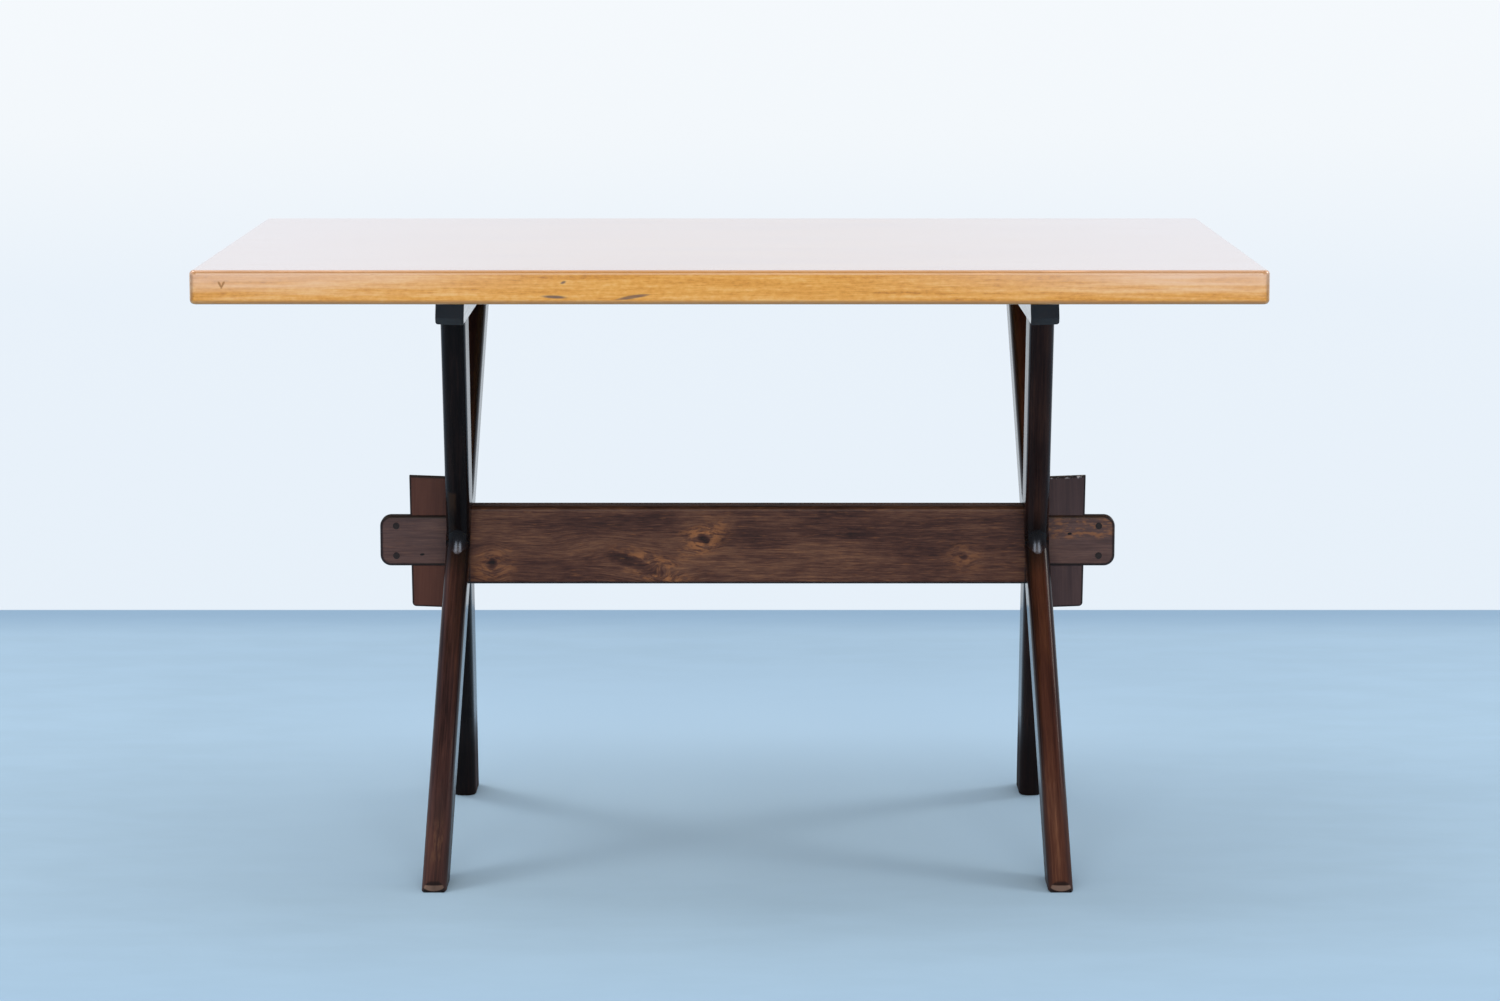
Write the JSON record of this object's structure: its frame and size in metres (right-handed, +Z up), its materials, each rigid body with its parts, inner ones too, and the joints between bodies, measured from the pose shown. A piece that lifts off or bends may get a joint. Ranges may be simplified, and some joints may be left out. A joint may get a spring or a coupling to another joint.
{
  "type": "sawbuck table",
  "caption": "Sawbuck dining table: thick pale wood top with rounded edges on dark crossed legs, tied by a stretcher whose through tenons are held by removable wedges.",
  "frame": {"origin": "on the floor, under the middle of the top", "axes": "+X along the table to the right as seen from the front, -Y the front, +Z up"},
  "size_m": [1.19, 0.75, 0.72],
  "materials": {
    "top_wood": "clear satin varnish",
    "stained_wood": "dark brown stain under gloss varnish",
    "wedge_wood": "dark brown stain, satin",
    "peg_wood": "dark stained end grain",
    "dowel_wood": "raw",
    "screw_steel": "plain"
  },
  "bodies": {
    "table": {"top_board_1": "top_wood", "top_board_2": "top_wood", "top_board_3": "top_wood", "top_board_4": "top_wood", "top_board_5": "top_wood", "left_batten": "stained_wood", "right_batten": "stained_wood", "left_batten_screws": "screw_steel", "right_batten_screws": "screw_steel", "left_front_leg": "stained_wood", "left_back_leg": "stained_wood", "right_front_leg": "stained_wood", "right_back_leg": "stained_wood", "left_front_leg_dowels": "dowel_wood", "left_back_leg_dowels": "dowel_wood", "right_front_leg_dowels": "dowel_wood", "right_back_leg_dowels": "dowel_wood", "stretcher": "stained_wood", "left_lower_peg": "peg_wood", "left_upper_peg": "peg_wood", "right_lower_peg": "peg_wood", "right_upper_peg": "peg_wood"},
    "left_wedge": {"left_wedge": "wedge_wood"},
    "right_wedge": {"right_wedge": "wedge_wood"}
  },
  "joints": [
    {"name": "left_wedge_lift", "type": "slide", "parent": "table", "child": "left_wedge", "axis": [0, 0, 1], "range_m": [0, 0.1]},
    {"name": "right_wedge_lift", "type": "slide", "parent": "table", "child": "right_wedge", "axis": [0, 0, 1], "range_m": [0, 0.1]}
  ]
}
